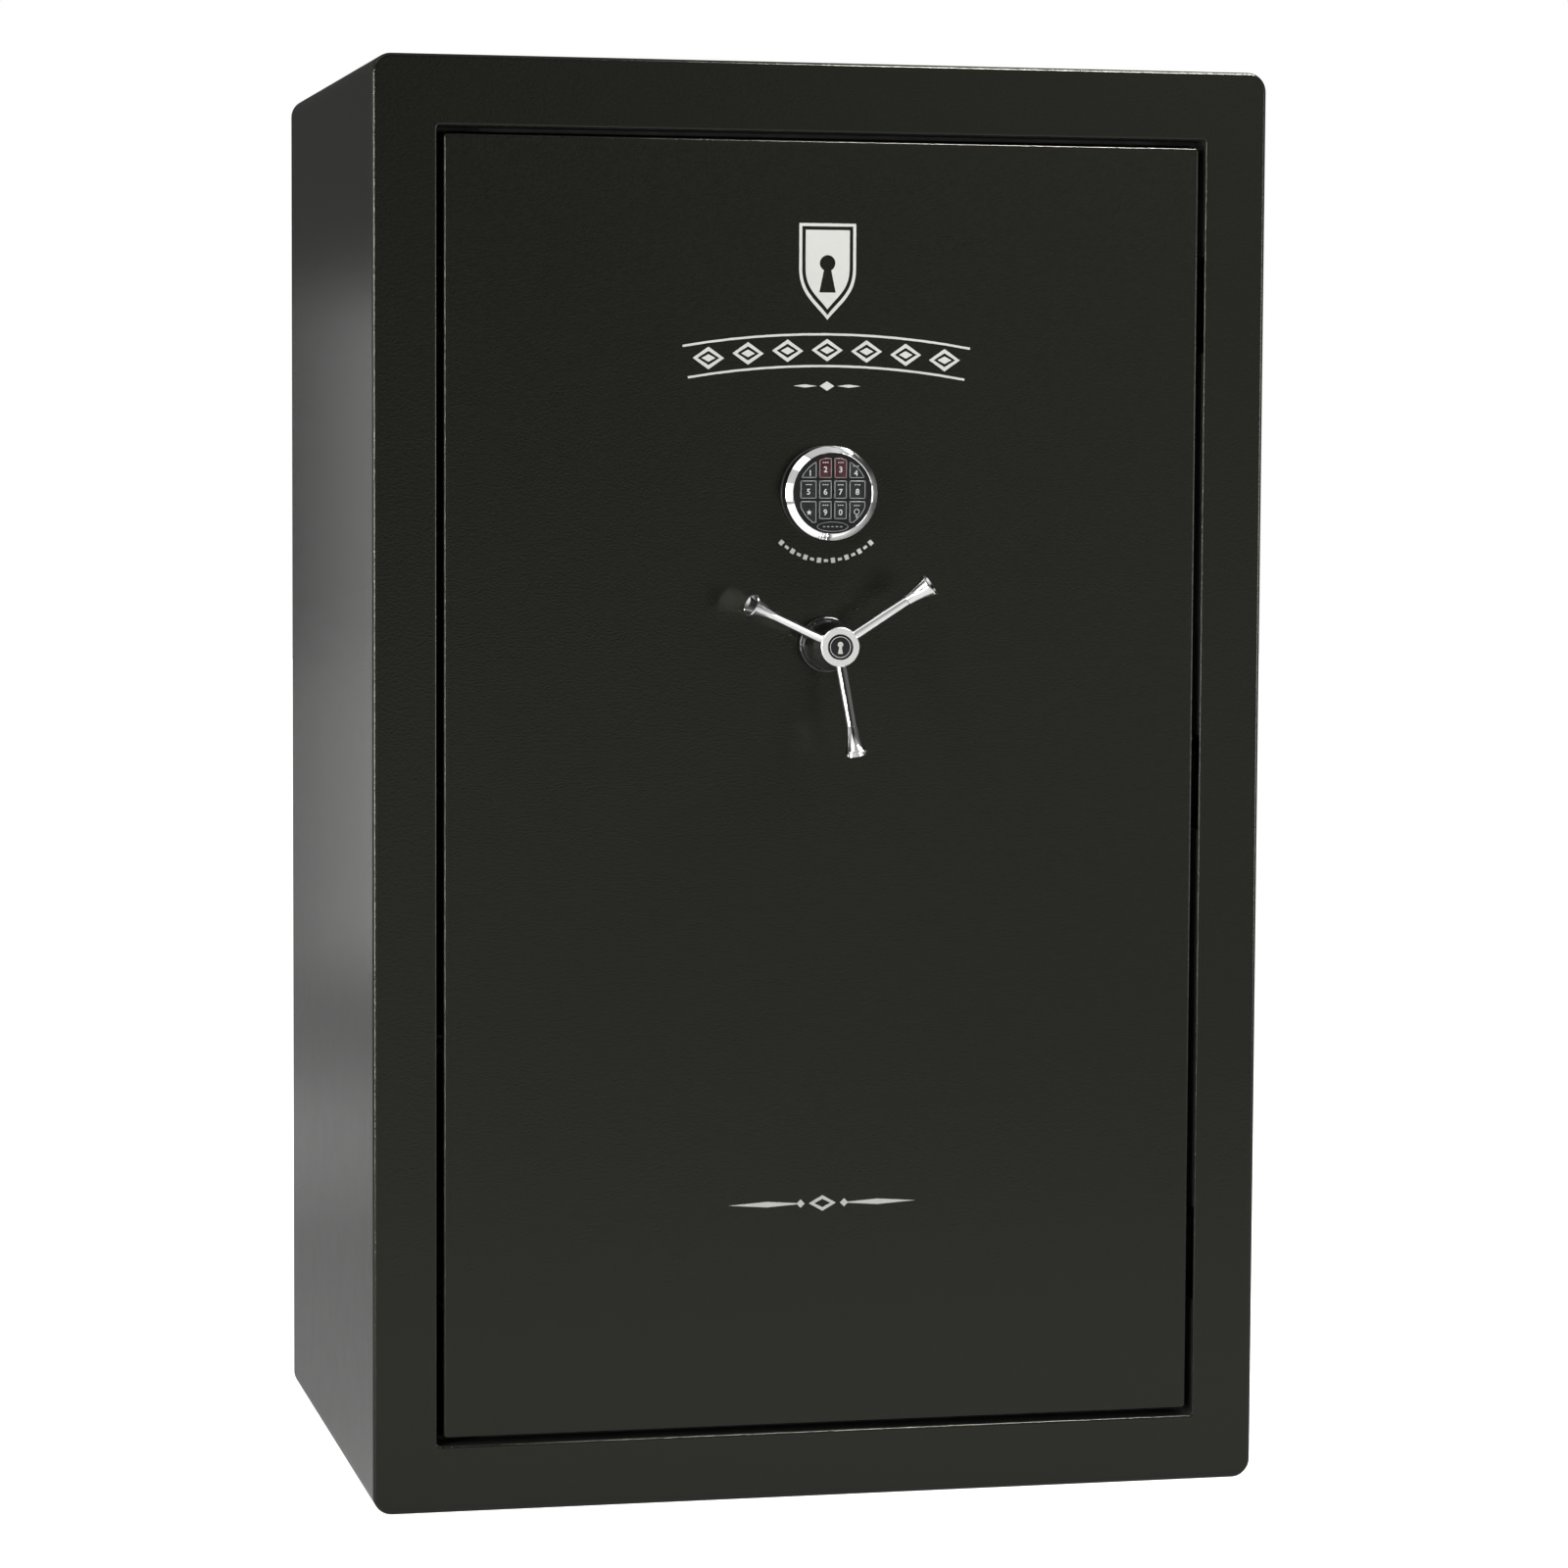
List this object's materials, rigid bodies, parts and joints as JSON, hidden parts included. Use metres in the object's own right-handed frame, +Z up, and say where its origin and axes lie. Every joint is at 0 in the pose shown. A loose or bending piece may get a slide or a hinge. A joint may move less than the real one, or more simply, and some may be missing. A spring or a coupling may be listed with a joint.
{
  "type": "gun safe",
  "caption": "Tall steel gun safe with a hinged door, three-spoke chrome handle working sliding round bolts, round electronic keypad, fireboard lining and carpeted shelves and barrel rack.",
  "frame": {"origin": "centre of the body's footprint, on the floor", "axes": "+Z up, +Y from the door into the safe, +X to the right seen from the front"},
  "size_m": [0.973, 0.8049, 1.537],
  "materials": {
    "battery_case": "satin",
    "black_gloss": "gloss black",
    "black_plastic": "satin black",
    "bolt_steel": "polished plate",
    "brass_bush": "turned",
    "cable_black": "matt",
    "carpet": "grey-beige carpet",
    "carpet_board": "particle board wrapped in grey-beige carpet",
    "carpet_rack": "particle board wrapped in carpet",
    "chrome": "polished",
    "clip_plastic": "moulded black",
    "door_steel": "dark grey paint",
    "fireboard": "paper-faced gypsum board",
    "hard_steel": "hardened plate, oiled",
    "hinge_steel": "black paint",
    "jamb_paint": "black powder coat",
    "key_plastic": "translucent black, gloss",
    "lock_alloy": "die-cast zinc alloy",
    "lock_brass": "machined",
    "organiser_fabric": "black woven fabric",
    "panel_fabric": "grey carpet over board",
    "pin_steel": "ground",
    "powder_coat": "dark grey-black textured powder coat",
    "screw_steel": "black oxide",
    "seal_rubber": "matt black expanding smoke seal",
    "silver_ink": "silver-white screen print",
    "zinc_steel": "bright zinc plate"
  },
  "bodies": {
    "body": {"body_shell": "powder_coat", "back_panel": "powder_coat", "door_jamb": "jamb_paint", "door_seal": "seal_rubber", "hinge_brackets": "jamb_paint", "hinge_pins": "pin_steel", "hinge_washers": "pin_steel", "fireboard_sides": "fireboard", "fireboard_top": "fireboard", "fireboard_floor": "fireboard", "fireboard_back": "fireboard", "liner_sides": "carpet", "liner_ceiling": "carpet", "liner_floor": "carpet", "liner_back": "carpet", "centre_partition": "carpet_board", "top_shelf": "carpet_board", "side_shelves": "carpet_board", "shelf_clips": "clip_plastic", "barrel_rack": "carpet_rack"},
    "door": {"hinge_arms": "hinge_steel", "door_skin": "powder_coat", "door_box": "door_steel", "door_fireboard": "fireboard", "hard_plate": "hard_steel", "door_panel": "panel_fabric", "panel_screws": "screw_steel", "door_organiser": "organiser_fabric", "fixed_bolts": "bolt_steel", "bolt_bushes": "brass_bush", "bolt_guide": "door_steel", "spindle_bearing": "brass_bush", "handle_escutcheon": "black_gloss", "lock_case": "lock_alloy", "lock_cable": "cable_black", "keypad_base": "black_plastic", "door_graphics": "silver_ink"},
    "handle": {"handle_hub": "chrome", "handle_spokes": "chrome", "hub_cap": "black_gloss", "handle_spindle": "zinc_steel", "cam": "zinc_steel"},
    "bolts": {"side_bolts": "bolt_steel", "bolt_carriage": "zinc_steel"},
    "lock_bolt": {"lock_bolt": "lock_brass"},
    "keypad": {"keypad_bezel": "chrome", "keypad_face": "black_gloss", "keypad_batteries": "battery_case"},
    "key_0": {"key_0": "key_plastic"},
    "key_1": {"key_1": "key_plastic"},
    "key_2": {"key_2": "key_plastic"},
    "key_3": {"key_3": "key_plastic"},
    "key_4": {"key_4": "key_plastic"},
    "key_5": {"key_5": "key_plastic"},
    "key_6": {"key_6": "key_plastic"},
    "key_7": {"key_7": "key_plastic"},
    "key_8": {"key_8": "key_plastic"},
    "key_9": {"key_9": "key_plastic"},
    "key_clear": {"key_clear": "key_plastic"},
    "key_star": {"key_star": "key_plastic"}
  },
  "joints": [
    {"name": "door_hinge", "type": "hinge", "parent": "body", "child": "door", "pos_m": [0.4465, -0.328, 0.7685], "axis": [0, 0, 1], "range_deg": [0, 90]},
    {"name": "handle_turn", "type": "hinge", "parent": "door", "child": "handle", "pos_m": [0, -0.35, 0.921], "axis": [0, -1, 0], "range_deg": [0, 60]},
    {"name": "bolts_throw", "type": "slide", "parent": "door", "child": "bolts", "axis": [-1, 0, 0], "range_m": [0, 0.03]},
    {"name": "lock_bolt_throw", "type": "slide", "parent": "door", "child": "lock_bolt", "axis": [0, 0, 1], "range_m": [0, 0.0095]},
    {"name": "keypad_lift_off", "type": "slide", "parent": "door", "child": "keypad", "axis": [0, -1, 0], "range_m": [0, 0.04]},
    {"name": "key_0_press", "type": "slide", "parent": "keypad", "child": "key_0", "axis": [0, 1, 0], "range_m": [0, 0.0008], "stiffness_N_per_m": 400},
    {"name": "key_1_press", "type": "slide", "parent": "keypad", "child": "key_1", "axis": [0, 1, 0], "range_m": [0, 0.0008], "stiffness_N_per_m": 400},
    {"name": "key_2_press", "type": "slide", "parent": "keypad", "child": "key_2", "axis": [0, 1, 0], "range_m": [0, 0.0008], "stiffness_N_per_m": 400},
    {"name": "key_3_press", "type": "slide", "parent": "keypad", "child": "key_3", "axis": [0, 1, 0], "range_m": [0, 0.0008], "stiffness_N_per_m": 400},
    {"name": "key_4_press", "type": "slide", "parent": "keypad", "child": "key_4", "axis": [0, 1, 0], "range_m": [0, 0.0008], "stiffness_N_per_m": 400},
    {"name": "key_5_press", "type": "slide", "parent": "keypad", "child": "key_5", "axis": [0, 1, 0], "range_m": [0, 0.0008], "stiffness_N_per_m": 400},
    {"name": "key_6_press", "type": "slide", "parent": "keypad", "child": "key_6", "axis": [0, 1, 0], "range_m": [0, 0.0008], "stiffness_N_per_m": 400},
    {"name": "key_7_press", "type": "slide", "parent": "keypad", "child": "key_7", "axis": [0, 1, 0], "range_m": [0, 0.0008], "stiffness_N_per_m": 400},
    {"name": "key_8_press", "type": "slide", "parent": "keypad", "child": "key_8", "axis": [0, 1, 0], "range_m": [0, 0.0008], "stiffness_N_per_m": 400},
    {"name": "key_9_press", "type": "slide", "parent": "keypad", "child": "key_9", "axis": [0, 1, 0], "range_m": [0, 0.0008], "stiffness_N_per_m": 400},
    {"name": "key_clear_press", "type": "slide", "parent": "keypad", "child": "key_clear", "axis": [0, 1, 0], "range_m": [0, 0.0008], "stiffness_N_per_m": 400},
    {"name": "key_star_press", "type": "slide", "parent": "keypad", "child": "key_star", "axis": [0, 1, 0], "range_m": [0, 0.0008], "stiffness_N_per_m": 400}
  ],
  "couplings": [
    {"joint": "bolts_throw", "follows": "handle_turn", "m_per_rad": 0.028648}
  ]
}
